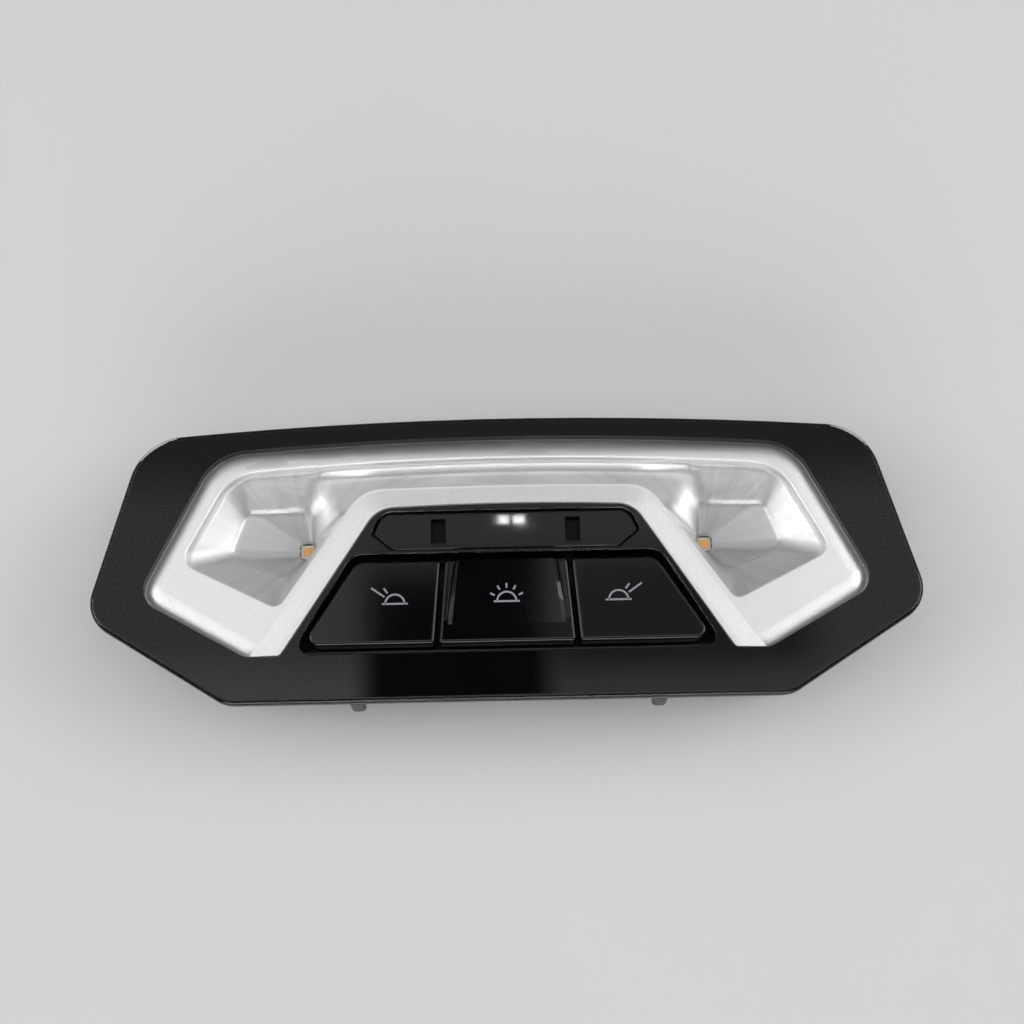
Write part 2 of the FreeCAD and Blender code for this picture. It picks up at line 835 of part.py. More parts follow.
strip_outline = grown("strip_outline", strip_opening, "-strip_gap")
strip_block = prism("strip_block", strip_outline, "strip_flange_back", "strip_level")
strip_front = body_from("strip_front", strip_block)
rounded(strip_front, "strip_edge_round", lambda edge: at_level(edge, "strip_level"))
strip_bars = [
    strip_front,
    prism("strip_flange_plate", grown("strip_flange_outline", strip_opening, "strip_flange"),
          "strip_flange_back", "collar_level"),
]
strip_cuts = [prism("strip_hollow", grown("strip_hollow_outline", strip_outline, "-strip_wall"),
                    f"strip_flange_back - {PAST}", "strip_back")]
for word, side in SIDES.items():
    strip_bars.append(slot_block(f"{word}_slot_frame", side, "slot_frame",
                                 ("strip_back", "strip_level + slot_frame_rise")))
    strip_cuts.append(slot_block(f"{word}_slot", side, 0, ("collar_level", "front_level")))
    guide_body = slot_block(f"{word}_guide_body", side, "-guide_clearance", ("strip_back", "guide_level"))
    guide_flange = slot_block(f"{word}_guide_flange", side, "slot_frame",
                              ("strip_back - guide_flange_thick", "strip_back"))
    node(f"{word}_slot_guide", joined(f"{word}_guide", [guide_body, guide_flange]))
node("upper_strip", less("strip_cut", joined("strip_bars", strip_bars), strip_cuts))

# Keys: a cap hung from two arms at its upper edge, with a post that meets its switch


def key_half_split(end):
    """Gives the edges of the middle key and of a side key at the top or foot of the gap between them."""
    return f"key_split_{end}_x - key_split_gap / 2", f"key_split_{end}_x + key_split_gap / 2"


middle_top, side_top = key_half_split("top")
middle_foot, side_foot = key_half_split("foot")
SIDE_CAP = [
    ("key_outer_foot_x", "key_foot", "key_corner_round"),
    ("key_outer_top_x", "key_top", "key_opening_top_round - key_split_gap"),
    (side_top, "key_top", "key_edge_round"),
    (side_foot, "key_foot", "key_edge_round"),
]
MIDDLE_CAP = mirrored([
    (middle_foot, "key_foot", "key_edge_round"),
    (middle_top, "key_top", "key_edge_round"),
])
# Each key: outline of its cap, place of its switch, and its arms with the way their pins point
KEYS = {
    "left": (
        [(f"-({x})", y, rounding) for x, y, rounding in reversed(SIDE_CAP)],
        "-side_switch_x",
        [("-inner_arm_x", 1), ("-outer_arm_x", -1)],
    ),
    "middle": (MIDDLE_CAP, "0", [("-middle_arm_x", -1), ("middle_arm_x", 1)]),
    "right": (SIDE_CAP, "side_switch_x", [("inner_arm_x", -1), ("outer_arm_x", 1)]),
}


def beside(x, way, gap, length):
    """Gives the span that starts a gap away from an arm's face, on the side its pin points to."""
    near = f"({x}) + {way} * (arm_wide / 2 + {gap})"
    far = f"({x}) + {way} * (arm_wide / 2 + {gap} + {length})"
    return (near, far) if way > 0 else (far, near)


def key_arm(name, x, way):
    """Makes an arm with the web that carries it and the pin it turns on."""
    across = around(x, "arm_wide")
    arm_levels = around("hinge_level", "arm_tall")
    web = block(f"{name}_web", across, ("key_top - 2 * key_wall", "key_top - key_wall / 2"),
                (arm_levels[0], "key_level - key_wall / 2"))
    arm = block(f"{name}_arm", across, ("key_top - 2 * key_wall", "hinge_y + arm_tall / 2"), arm_levels)
    pin = cross_pin(f"{name}_pin", beside(x, way, 0, "pin_length"), "hinge_y", "hinge_level", "pin_radius")
    return [web, arm, pin]


def upright_section(name, corners, y):
    """Draws an outline that stands across the key: x along X, y along Z."""
    sketch = doc.addObject("Sketcher::SketchObject", name)
    draw_outline(sketch, corners)
    sketch.Placement = FreeCAD.Placement(vector(0, 0), FreeCAD.Rotation(vector(1, 0, 0), 90))
    return bind(sketch, Placement__Base__y=y)


def finger_pad():
    """Makes the raised field of the middle key, highest at its upper edge and fading towards its foot."""
    sections = []
    for end, half_width, rise, y in (
            ("top", "pad_top_x", "pad_rise", "key_top - key_edge_round / 2"),
            ("foot", "pad_foot_x", "pad_foot_rise", "pad_foot")):
        corners = mirrored([
            (f"{half_width} + pad_flank", "key_level - key_wall / 2", None),
            (f"{half_width} + pad_flank", f"key_level - {SKIN}", None),
            (half_width, f"key_level + {rise}", None),
        ])
        sections.append(upright_section(f"pad_{end}", corners, y))
    return loft("finger_pad", sections)


def side_rail():
    """Makes the narrow rail that stands on the right of the raised field."""
    inner, outer = "- rail_wide / 2", "+ rail_wide / 2"
    profile = outline("rail_outline", [
        (f"rail_foot_x {inner}", "rail_foot", "rail_round"),
        (f"rail_foot_x {outer}", "rail_foot", "rail_round"),
        (f"rail_top_x {outer}", "key_top - key_edge_round", "rail_round"),
        (f"rail_top_x {inner}", "key_top - key_edge_round", "rail_round"),
    ])
    rail_level = "key_level + rail_rise"
    rail = body_from("rail", prism("rail_block", profile, "key_level - key_wall / 2", rail_level))
    return rounded(rail, "rail_edge_round", lambda edge: at_level(edge, rail_level))


for word, (corners, switch_x, arms) in KEYS.items():
    cap_outline = outline(f"{word}_cap_outline", corners)
    cap = body_from(f"{word}_cap", prism(f"{word}_cap_block", cap_outline, "key_skirt_level", "key_level"))
    rounded(cap, "key_edge_round", lambda edge: at_level(edge, "key_level"))
    hollow = prism(f"{word}_cap_hollow", grown(f"{word}_hollow_outline", cap_outline, "-key_wall"),
                   f"key_skirt_level - {PAST}", "key_level - key_wall")
    pieces = [less(f"{word}_cap_shell", cap, [hollow])]
    pieces.append(post(f"{word}_key_post", switch_x, "switch_y", "post_radius",
                       "hinge_level + plunger_gap", "key_level - key_wall / 2"))
    for x, way in arms:
        pieces += key_arm(f"{word}_{len(pieces)}", x, way)
    if word == "middle":
        rail = side_rail()
        pieces += [finger_pad(), rail, other_side("left_rail", rail)]
    node(f"{word}_key", joined(f"{word}_key_whole", pieces))

# Key carrier: a bar on legs with an ear for each pin

EAR_LEVELS = ("carrier_level - carrier_thick", "hinge_level + arm_tall / 2")
carrier_pieces = [block("carrier_bar", around(0, "2 * (outer_arm_x + arm_wide / 2 + ear_gap + ear_thick)"),
                        around("hinge_y", "carrier_wide"),
                        ("carrier_level - carrier_thick", "carrier_level"))]
carrier_cuts = []
for word, (_, _, arms) in KEYS.items():
    for x, way in arms:
        tag = f"{word}_{len(carrier_cuts)}"
        span = beside(x, way, "ear_gap", "ear_thick")
        carrier_pieces.append(block(f"{tag}_ear", span, around("hinge_y", "carrier_wide - 2 * ear_gap"),
                                    EAR_LEVELS))
        carrier_cuts.append(cross_pin(f"{tag}_ear_hole", span, "hinge_y", "hinge_level",
                                      "pin_radius + pin_clearance"))
for word, side in SIDES.items():
    for place in ("middle_arm_x / 2", "side_switch_x + arm_wide / 2"):
        across = around(f"{side} * ({place})", "arm_wide")
        carrier_pieces.append(block(f"{word}_leg_{len(carrier_pieces)}", across,
                                    around("hinge_y", "carrier_wide"), ("board_level", "carrier_level")))
    carrier_cuts.append(slot_block(f"{word}_light_way", side, "slot_frame",
                                   ("board_level", f"carrier_level + {PAST}")))
node("key_carrier", less("carrier_cut", joined("carrier_whole", carrier_pieces), carrier_cuts))

# Switches and their plungers

for word, (_, switch_x, _) in KEYS.items():
    case = block(f"{word}_switch_case", around(switch_x, "switch_wide"), around("switch_y", "switch_wide"),
                 ("board_level", "board_level + switch_tall"))
    bore = post(f"{word}_switch_bore", switch_x, "switch_y", "plunger_radius + plunger_clearance",
                "board_level + switch_tall / 4", f"board_level + switch_tall + {PAST}")
    node(f"{word}_switch", less(f"{word}_switch_cut", case, [bore]))
    node(f"{word}_plunger", post(f"{word}_plunger_rod", switch_x, "switch_y", "plunger_radius",
                                 "board_level + switch_tall / 2", "hinge_level"))
    node(f"{word}_key_lamp", block(f"{word}_key_lamp_case", around(switch_x, "key_lamp_wide"),
                                   around("switch_y + key_lamp_shift", "key_lamp_wide / 2"),
                                   ("board_level", "board_level + lamp_tall")))

# Lamps below the bowls and below the slot guides

for word, side in SIDES.items():
    lamp_across = around(f"{side} * lamp_x", "lamp_wide")
    emitter_across = around(f"{side} * lamp_x", "emitter_wide")
    node(f"{word}_lamp_base", block(f"{word}_lamp_case", lamp_across, around("lamp_y", "lamp_wide"),
                                    ("board_level", "board_level + lamp_base_tall")))
    node(f"{word}_lamp_chip", block(f"{word}_emitter", emitter_across, around("lamp_y", "emitter_wide"),
                                    ("board_level + lamp_base_tall", "board_level + lamp_tall")))
    node(f"{word}_guide_lamp", block(f"{word}_guide_lamp_case", around(f"{side} * slot_x", "key_lamp_wide"),
                                     around("slot_y", "key_lamp_wide"),
                                     ("board_level", "board_level + lamp_tall")))

# Housing: flange and deck below the panel, tub, bosses, hooks and the pads of the clips

BOSSES = {}
for word, side in SIDES.items():
    BOSSES[f"{word}_upper"] = (f"{side} * upper_boss_x", "upper_boss_y")
    BOSSES[f"{word}_lower"] = (f"{side} * lower_boss_x", "lower_boss_y")
tub_outline = grown("tub_outline", face, "-tub_inset")
tub_space = grown("tub_space", face, "tub_inner")

flange_outline = grown("flange_outline", face, "-flange_inset")
flange = less("flange", prism("flange_plate", flange_outline, "deck_back", "backing_back"), [
    prism("trim_seat", grown("trim_seat_outline", well, "rib_thick + well_clearance"),
          "trim_foot", "front_level"),
    prism("deck_opening", grown("deck_opening_outline", well, "-ledge_wide"), "deck_back", "front_level"),
])
tub = less("tub", prism("tub_block", tub_outline, "rear_thick", "deck_back"),
           [prism("tub_hollow", tub_space, "0", "deck_back")])
housing_pieces = [flange, tub]
housing_cuts = [block("socket_notch", around(0, "notch_wide"),
                      ("half_height - tub_inset - 2 * tub_wall", "half_height"),
                      ("0", "board_back + notch_gap"))]
for place, (x, y) in BOSSES.items():
    housing_pieces.append(post(f"{place}_boss", x, y, "boss_radius", "board_level", "deck_back"))
    housing_cuts.append(post(f"{place}_pilot", x, y, "screw_radius + screw_clearance",
                             f"board_level - {PAST}", "screw_top + pilot_spare"))
for word, side in SIDES.items():
    housing_pieces.append(block(f"{word}_boss_rib", around(f"{side} * lower_boss_x", "rib_width"),
                                ("lower_boss_y - 2.5 * boss_radius", "lower_boss_y - boss_radius / 2"),
                                ("board_level", "deck_back")))
    low, high = around(f"{side} * hook_x", "hook_wide")
    root = "-half_height + tub_inset + tub_wall / 2"
    hook_outline = outline(f"{word}_hook_outline", [
        (low, "hook_end", "hook_round"),
        (high, "hook_end", "hook_round"),
        (high, root, None),
        (low, root, None),
    ])
    hook = prism(f"{word}_hook", hook_outline, "hook_level", "deck_back")
    housing_pieces.append(hook)
    housing_pieces.append(block(f"{word}_clip_pad", around(f"{side} * clip_x", "clip_wide + 2 * clip_margin"),
                                ("clip_pad_y - 1.5 * tub_wall", "clip_pad_y"),
                                ("clip_foot - clip_margin", "deck_back")))
node("housing", less("housing_cut", joined("housing_whole", housing_pieces), housing_cuts))

# Spring clips: a foot on the wall, folded out into a bowed leaf

CLIP_CORNERS = [
    ("clip_pad_y", "clip_foot"),
    ("clip_face", "clip_foot"),
    ("clip_pad_y + clip_bulge", "clip_middle"),
    ("clip_face + clip_thick", "clip_top"),
    ("clip_face", "clip_top"),
    ("clip_pad_y + clip_bulge - clip_thick", "clip_middle"),
    ("clip_face", "clip_foot + 2 * clip_thick"),
    ("clip_face", "clip_top - 3 * clip_thick"),
    ("clip_pad_y", "clip_top - 3 * clip_thick"),
]
for word, side in SIDES.items():
    profile = doc.addObject("Sketcher::SketchObject", f"{word}_clip_profile")
    draw_outline(profile, [(y, z, None) for y, z in CLIP_CORNERS])
    profile.Placement = FreeCAD.Placement(vector(0, 0), FreeCAD.Rotation(vector(1, 1, 1), 120))
    leaf = doc.addObject("Part::Extrusion", f"{word}_clip_leaf")
    leaf.Base = profile
    leaf.DirMode = "Custom"
    leaf.Dir = vector(1, 0, 0)
    leaf.Solid = True
    low, high = around(f"{side} * clip_x", "clip_wide")
    node(f"{word}_spring_clip", bind(leaf, LengthFwd=high, LengthRev=f"-({low})"))

# Rear cover with posts that clamp the board, and its screws

rear_rim = less("rear_rim", prism("rear_rim_block", grown("rear_rim_outline", face, "rear_rim"),
                                  "rear_thick", "2 * rear_thick"), [
    prism("rear_rim_hollow", grown("rear_rim_inner", face, "rear_rim - rib_width"), "0", "front_level"),
    block("rear_rim_notch", around(0, "notch_wide"), ("0", "half_height"), ("0", "front_level")),
])
rear_pieces = [prism("rear_plate", tub_outline, "0", "rear_thick"), rear_rim]
rear_cuts = []
board_cuts = []
screws = []
for place, (x, y) in BOSSES.items():
    rear_pieces.append(post(f"{place}_clamp", x, y, "post_wall", "rear_thick", "board_back"))
    rear_cuts.append(post(f"{place}_way", x, y, "screw_radius + way_clearance", f"-{PAST}", "board_level"))
    rear_cuts.append(post(f"{place}_sink", x, y, "head_radius + head_clearance",
                          f"-{PAST}", "head_level + head_tall"))
    board_cuts.append(post(f"{place}_board_hole", x, y, "screw_radius + way_clearance", "0", "front_level"))
    head = post(f"{place}_head", x, y, "head_radius", "head_level", "head_level + head_tall")
    shank = post(f"{place}_shank", x, y, "screw_radius", "head_level + head_tall / 2", "screw_top")
    recess = post(f"{place}_recess", x, y, "recess_radius", "0", "head_level + head_tall / 2")
    screws.append(less(f"{place}_screw", joined(f"{place}_screw_whole", [head, shank]), [recess]))
node("rear_cover", less("rear_cut", joined("rear_whole", rear_pieces), rear_cuts))
node("rear_screws", group("rear_screw_set", screws))

# Socket for the plug, with contacts that turn up into the board

contact_total = int(size("contact_count"))
socket_cuts = [block("socket_space", around(0, "2 * (socket_half_wide - socket_wall)"),
                     ("socket_mouth_y - socket_depth", f"socket_mouth_y + {PAST}"),
                     ("socket_floor + socket_wall", "board_back - socket_wall"))]
contacts = []
for i in range(contact_total):
    x = f"({i} - (contact_count - 1) / 2) * contact_pitch"
    inner_end = "socket_back - 4 * contact_wide"
    level_part = block(f"contact_{i}_level", around(x, "contact_wide"),
                       (inner_end, "socket_mouth_y - socket_depth + contact_reach"),
                       around("contact_level", "contact_wide"))
    rising_part = block(f"contact_{i}_rise", around(x, "contact_wide"),
                        (inner_end, f"{inner_end} + contact_wide"),
                        ("contact_level", "board_level + contact_wide"))
    contacts.append(joined(f"contact_{i}", [level_part, rising_part]))
    socket_cuts.append(block(f"contact_{i}_way", around(x, "contact_wide + 2 * contact_clearance"),
                             (f"socket_back - {PAST}", "socket_mouth_y - socket_depth"),
                             around("contact_level", "contact_wide + 2 * contact_clearance")))
    board_cuts.append(post(f"contact_{i}_hole", x, f"{inner_end} + contact_wide / 2", "contact_hole_radius",
                           "0", "front_level"))
socket_shell = block("socket_shell", around(0, "2 * socket_half_wide"), ("socket_back", "socket_mouth_y"),
                     ("socket_floor", "board_back"))
node("plug_socket", less("socket_cut", socket_shell, socket_cuts))
node("plug_pins", group("contact_set", contacts))

# Circuit board and the larger pieces on its rear face

board_outline = grown("board_outline", face, "tub_inner - board_clearance")
board_plate = prism("board_plate", board_outline, "board_back", "board_level")
node("circuit_board", less("board_cut", board_plate, board_cuts))
node("driver_chip", block("driver_case", around(0, "chip_wide"), around("switch_y", "chip_wide"),
                          ("board_back - chip_tall", "board_back")))
for word, side in SIDES.items():
    node(f"{word}_storage_can", post(f"{word}_can", f"{side} * can_x", "lamp_y", "can_radius",
                                     "board_back - can_tall", "board_back"))

# Checks and the files

doc.recompute()
for thing in doc.Objects:
    for state in ("Invalid", "Error"):
        if state in thing.State:
            raise RuntimeError(f"{thing.Label} is {state}")
for name, thing in NODES.items():
    if thing.Shape.isNull() or not thing.Shape.isValid():
        raise RuntimeError(f"{name} has no valid shape")
os.makedirs("parts", exist_ok=True)
for name, thing in NODES.items():
    thing.Shape.exportStep(f"parts/{name}.step")
    print(name, len(thing.Shape.Solids), round(thing.Shape.Volume, 1))
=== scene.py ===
import json
import math

import bmesh
import bpy
from mathutils import Matrix, Vector


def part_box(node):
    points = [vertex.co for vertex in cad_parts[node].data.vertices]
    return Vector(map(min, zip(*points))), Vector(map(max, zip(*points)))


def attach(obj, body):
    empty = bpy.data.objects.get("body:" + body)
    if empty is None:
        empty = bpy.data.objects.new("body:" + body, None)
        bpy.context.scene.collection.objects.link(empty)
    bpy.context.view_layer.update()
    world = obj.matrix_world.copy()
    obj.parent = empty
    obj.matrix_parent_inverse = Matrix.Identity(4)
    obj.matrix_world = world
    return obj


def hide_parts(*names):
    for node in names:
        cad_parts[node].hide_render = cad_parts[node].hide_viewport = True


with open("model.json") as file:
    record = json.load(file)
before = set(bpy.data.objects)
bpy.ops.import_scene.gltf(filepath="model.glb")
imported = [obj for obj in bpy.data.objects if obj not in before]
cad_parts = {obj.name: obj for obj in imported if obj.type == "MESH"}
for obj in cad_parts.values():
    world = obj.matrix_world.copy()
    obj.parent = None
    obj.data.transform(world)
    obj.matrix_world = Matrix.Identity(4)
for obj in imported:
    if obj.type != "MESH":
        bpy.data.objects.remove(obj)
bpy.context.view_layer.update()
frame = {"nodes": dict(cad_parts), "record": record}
MM = 0.001

# Camera, as the photo was taken: steep from the lower edge, turned a little
CAMERA_TILT = math.radians(72.0)
CAMERA_ROLL = math.radians(1.19)
CAMERA_DISTANCE = 0.400
CAMERA_AIM = Vector((1.69, 10.69, 27.0)) * MM
CAMERA_LENS = 57.8
CAMERA_CLIP = 0.01

# The room by direction: how high the ceiling begins, and patches as colour, middle, half width and soft edge
CEILING_BEGINS = (0.45, 0.75)
WALL_COLOUR = (0.34, 0.34, 0.34)
CEILING_COLOUR = (1.1, 1.095, 1.085)
PATCHES = (
    ((0.18, 0.18, 0.18), {"Y": (1.0, 0.42, 0.12)}),
    ((0.14, 0.14, 0.14), {"Y": (-0.72, 0.32, 0.15)}),
    ((2.7, 2.7, 2.7), {"Y": (-0.98, 0.15, 0.04)}),
    ((0.78, 0.79, 0.83), {"X": (0.0, 0.28, 0.05), "Y": (0.24, 0.16, 0.04)}),
    ((0.34, 0.345, 0.36), {"X": (0.0, 0.26, 0.05), "Y": (0.41, 0.09, 0.02)}),
    ((1.3, 1.3, 1.3), {"X": (-0.16, 0.068, 0.012), "Y": (0.13, 0.085, 0.02)}),
    ((0.85, 0.85, 0.86), {"X": (0.15, 0.125, 0.012), "Y": (0.13, 0.085, 0.02)}),
    ((0.26, 0.26, 0.27), {"X": (0.10, 0.08, 0.02), "Y": (0.25, 0.035, 0.015)}),
    ((0.012, 0.015, 0.022), {"X": (-0.035, 0.056, 0.012), "Y": (0.165, 0.115, 0.02)}),
)

# Windows as name, place, width, height and watts, and a pair of ceiling fittings, in metres
WINDOW_COLOUR = (1.0, 0.99, 0.98)
WINDOWS = (
    ("near_window", (-0.3, -1.6, 0.8), 1.6, 0.7, 3.5),
    ("left_window", (-1.5, -0.1, 1.0), 1.0, 0.8, 5.5),
    ("right_window", (1.5, 0.2, 1.0), 1.0, 0.8, 6.5),
)
FITTING_PLACE = (0.011, 0.64, 2.0)
FITTING_SIZE = (0.012, 0.016)
FITTING_WATTS = 0.02
FLOOR_SIZE = 6.0

# Places on the part that materials and signs refer to, in millimetres
LAMP_X = 49.6
LAMP_Y = 5.8
KEY_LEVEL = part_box("left_key")[1].z / MM
PAD_TOP_Y = -1.45
PAD_FOOT_Y = -17.0
PAD_FOOT_RISE = 0.05
PAD_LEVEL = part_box("middle_key")[1].z / MM
# Painted shade in the bowls fades out from the lower to the upper of these levels
DEPTH_SHADE_LEVELS = (13.0, 21.0)
# Painted highlight on the upper side of the channel: its levels and where it ends to each side
HIGHLIGHT_LEVELS = (19.5, 20.0)
HIGHLIGHT_ENDS = (34.0, 46.0)
# Painted shade on the silver: where it begins and where it is strongest, towards the upper border
UPPER_SHADE_LEVELS = (25.0, 29.0)

# Signs on the keys, in millimetres and degrees
SIGN_Y = -11.7
SIGN_X = {"left": -26.8, "middle": 0.0, "right": 26.8}
SIGN_STROKE = 0.45
SIGN_BASE = 6.2
SIGN_DOME = 2.3
SIGN_THICK = 0.03
SIGN_SINK = 0.01
RAY_INNER = 3.25
RAY_OUTER = 4.4
RAY_ANGLES = (27, 60, 90, 120, 153)
SIDE_RAYS = (((-5.7, 4.0), (-2.5, 1.75)), ((-2.7, 3.9), (-1.75, 2.65)))
ARC_STEPS = 24

# Star drives in the heads of the rear screws, in millimetres
SCREW_PLACES = ((-80.0, 20.0), (80.0, 20.0), (-84.0, -8.5), (84.0, -8.5))
DRIVE_LEVELS = (0.42, 1.28)
DRIVE_RADIUS = 1.08
STAR_RADIUS = 0.74
STAR_DEPTH = 0.13
STAR_POINTS = 6
STAR_STEPS = 48

# The reflector's soft form, lengths in millimetres: mesh, line where bowls meet the channel, rim, floors
SOFT_MESH = 0.42
SOFT_ROUNDS = 5
SOFT_FACTOR = 0.5
FLOW_X = 45.0
FLOW_Y = (13.5, 21.5)
FLOW_REACH = 9.5
FLOW_ROUNDS = 40
RIM_THICK = 0.35
RIM_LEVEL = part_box("reflector")[1].z / MM - RIM_THICK
FLOOR_BELOW = 16.5
FLOOR_EXTRA = 0.6
WELD_DISTANCE = 0.001
FACES_DOWN = -0.5
FACES_UP = 0.3


# Materials


class Nodes:
    """A node tree under construction."""

    def __init__(self, tree):
        self.tree = tree

    def add(self, kind, **settings):
        made = self.tree.nodes.new(kind)
        for name, value in settings.items():
            setattr(made, name, value)
        return made

    def link(self, source, target):
        self.tree.links.new(source, target)

    def math(self, operation, first, second=None):
        made = self.add("ShaderNodeMath", operation=operation)
        for socket, value in zip(made.inputs, (first, second)):
            if value is None:
                continue
            if isinstance(value, (int, float)):
                socket.default_value = value
            else:
                self.link(value, socket)
        return made.outputs[0]

    def spread(self, source, low, high, source_low=0.3, source_high=0.7, way="LINEAR"):
        """Maps a value to the range from low to high."""
        made = self.add("ShaderNodeMapRange", interpolation_type=way)
        self.link(source, made.inputs["Value"])
        limits = {"From Min": source_low, "From Max": source_high, "To Min": low, "To Max": high}
        for name, value in limits.items():
            made.inputs[name].default_value = value
        return made.outputs["Result"]

    def blend(self, factor, first, second):
        """Mixes two colours by a factor from 0 to 1."""
        made = self.add("ShaderNodeMix", data_type="RGBA")
        self.link(factor, made.inputs["Factor"])
        for name, value in (("A", first), ("B", second)):
            socket = next(s for s in made.inputs if s.name == name and s.type == "RGBA")
            if isinstance(value, tuple):
                socket.default_value = (*value, 1.0)
            else:
                self.link(value, socket)
        return next(s for s in made.outputs if s.type == "RGBA")


class Finish(Nodes):
    """A material under construction: its nodes are added from left to right."""

    def __init__(self, name):
        self.material = bpy.data.materials.new(name)
        self.material.use_nodes = True
        super().__init__(self.material.node_tree)
        self.shader = self.tree.nodes["Principled BSDF"]
        self.place = self.add("ShaderNodeTexCoord").outputs["Object"]

    def along(self, axis):
        """Gives the place along an axis, in millimetres."""
        parts = self.add("ShaderNodeSeparateXYZ")
        self.link(self.place, parts.inputs["Vector"])
        return self.math("DIVIDE", parts.outputs[axis], MM)

    def set(self, **values):
        """Sets sockets of the shader; an underscore stands for a space."""
        for name, value in values.items():
            self.shader.inputs[name.replace("_", " ")].default_value = value
        return self

    def noise(self, size_mm, detail=2.0, roughness=0.5, place=None, stretch=None):
        """Gives noise whose features are about as large as size_mm, stretched by a factor along each axis."""
        made = self.add("ShaderNodeTexNoise")
        made.inputs["Scale"].default_value = 1.0 / (size_mm * MM)
        made.inputs["Detail"].default_value = detail
        made.inputs["Roughness"].default_value = roughness
        source = place or self.place
        if stretch:
            mapping = self.add("ShaderNodeMapping")
            mapping.inputs["Scale"].default_value = stretch
            self.link(source, mapping.inputs["Vector"])
            source = mapping.outputs["Vector"]
        self.link(source, made.inputs["Vector"])
        return made.outputs["Fac"]

    def colour(self, source):
        self.link(source, self.shader.inputs["Base Color"])
        return self

    def roughness(self, source):
        self.link(source, self.shader.inputs["Roughness"])
        return self

    def bump(self, height, depth_mm, strength=1.0):
        """Raises the surface by a height; several bumps add up."""
        made = self.add("ShaderNodeBump")
        made.inputs["Strength"].default_value = strength
        made.inputs["Distance"].default_value = depth_mm * MM
        self.link(height, made.inputs["Height"])
        normal = self.shader.inputs["Normal"]
        if normal.links:
            self.link(normal.links[0].from_socket, made.inputs["Normal"])
        self.link(made.outputs["Normal"], normal)
        return self


def tinted(colour, factor):
    return tuple(min(1.0, part * factor) for part in colour)


def moulded(name, colour, roughness, grain_mm=0.25, grain_depth_mm=0.004, uneven=0.25):
    """Moulded plastic: a fine grain, faint clouds in the colour and in the gloss."""
    made = Finish(name)
    clouds = made.noise(14.0, detail=4.0)
    made.colour(made.blend(clouds, tinted(colour, 1.0 - uneven), tinted(colour, 1.0 + uneven)))
    made.roughness(made.spread(made.noise(3.0, detail=5.0), roughness * 0.85, roughness * 1.15))
    made.bump(made.noise(grain_mm, detail=1.0), grain_depth_mm)
    return made


def clear_plastic():
    """The clear cover: polished, with faint wipe marks; lamps shine straight through it."""
    made = Finish("clear_plastic")
    made.set(Base_Color=(0.985, 0.988, 0.99, 1.0), Transmission_Weight=1.0, IOR=1.45)
    wipes = made.noise(6.0, detail=6.0, stretch=(0.35, 1.0, 1.0))
    made.roughness(made.spread(wipes, 0.0, 0.03, 0.45, 0.8))
    made.bump(made.noise(40.0, detail=1.0), 0.03)
    light_path = made.add("ShaderNodeLightPath")
    open_way = made.add("ShaderNodeBsdfTransparent")
    choice = made.add("ShaderNodeMixShader")
    made.link(light_path.outputs["Is Shadow Ray"], choice.inputs["Fac"])
    made.link(made.shader.outputs["BSDF"], choice.inputs[1])
    made.link(open_way.outputs["BSDF"], choice.inputs[2])
    made.link(choice.outputs["Shader"], made.tree.nodes["Material Output"].inputs["Surface"])
    return made


def gloss_black(name):
    made = Finish(name)
    clouds = made.noise(25.0, detail=3.0)
    made.colour(made.blend(clouds, (0.0018, 0.0018, 0.002), (0.0032, 0.0032, 0.0035)))
    made.set(Specular_IOR_Level=0.4)
    made.roughness(made.spread(made.noise(4.0, detail=6.0), 0.01, 0.04))
    made.bump(made.noise(30.0, detail=1.0), 0.02)
    return made


def satin_silver():
    """Silver paint with fine metal flakes that glitter; painted shade darkens it towards the upper border."""
    made = Finish("satin_silver")
    flakes = made.noise(0.32, detail=3.0, roughness=0.7)
    clouds = made.noise(20.0, detail=3.0)
    shade = made.blend(made.spread(flakes, 0.0, 1.0), (0.78, 0.782, 0.79), (1.0, 1.0, 1.0))
    cloudy = made.blend(made.spread(clouds, 0.0, 0.12), shade, (0.88, 0.885, 0.9))
    # Painted shade: the silver is darker towards the upper border
    painted_shade = made.spread(made.along("Y"), 0.0, 0.62, *UPPER_SHADE_LEVELS, "SMOOTHSTEP")
    made.colour(made.blend(painted_shade, cloudy, (0.16, 0.16, 0.165)))
    made.set(Metallic=0.88)
    made.roughness(made.spread(made.noise(0.3, detail=3.0), 0.33, 0.45))
    made.bump(flakes, 0.035)
    return made


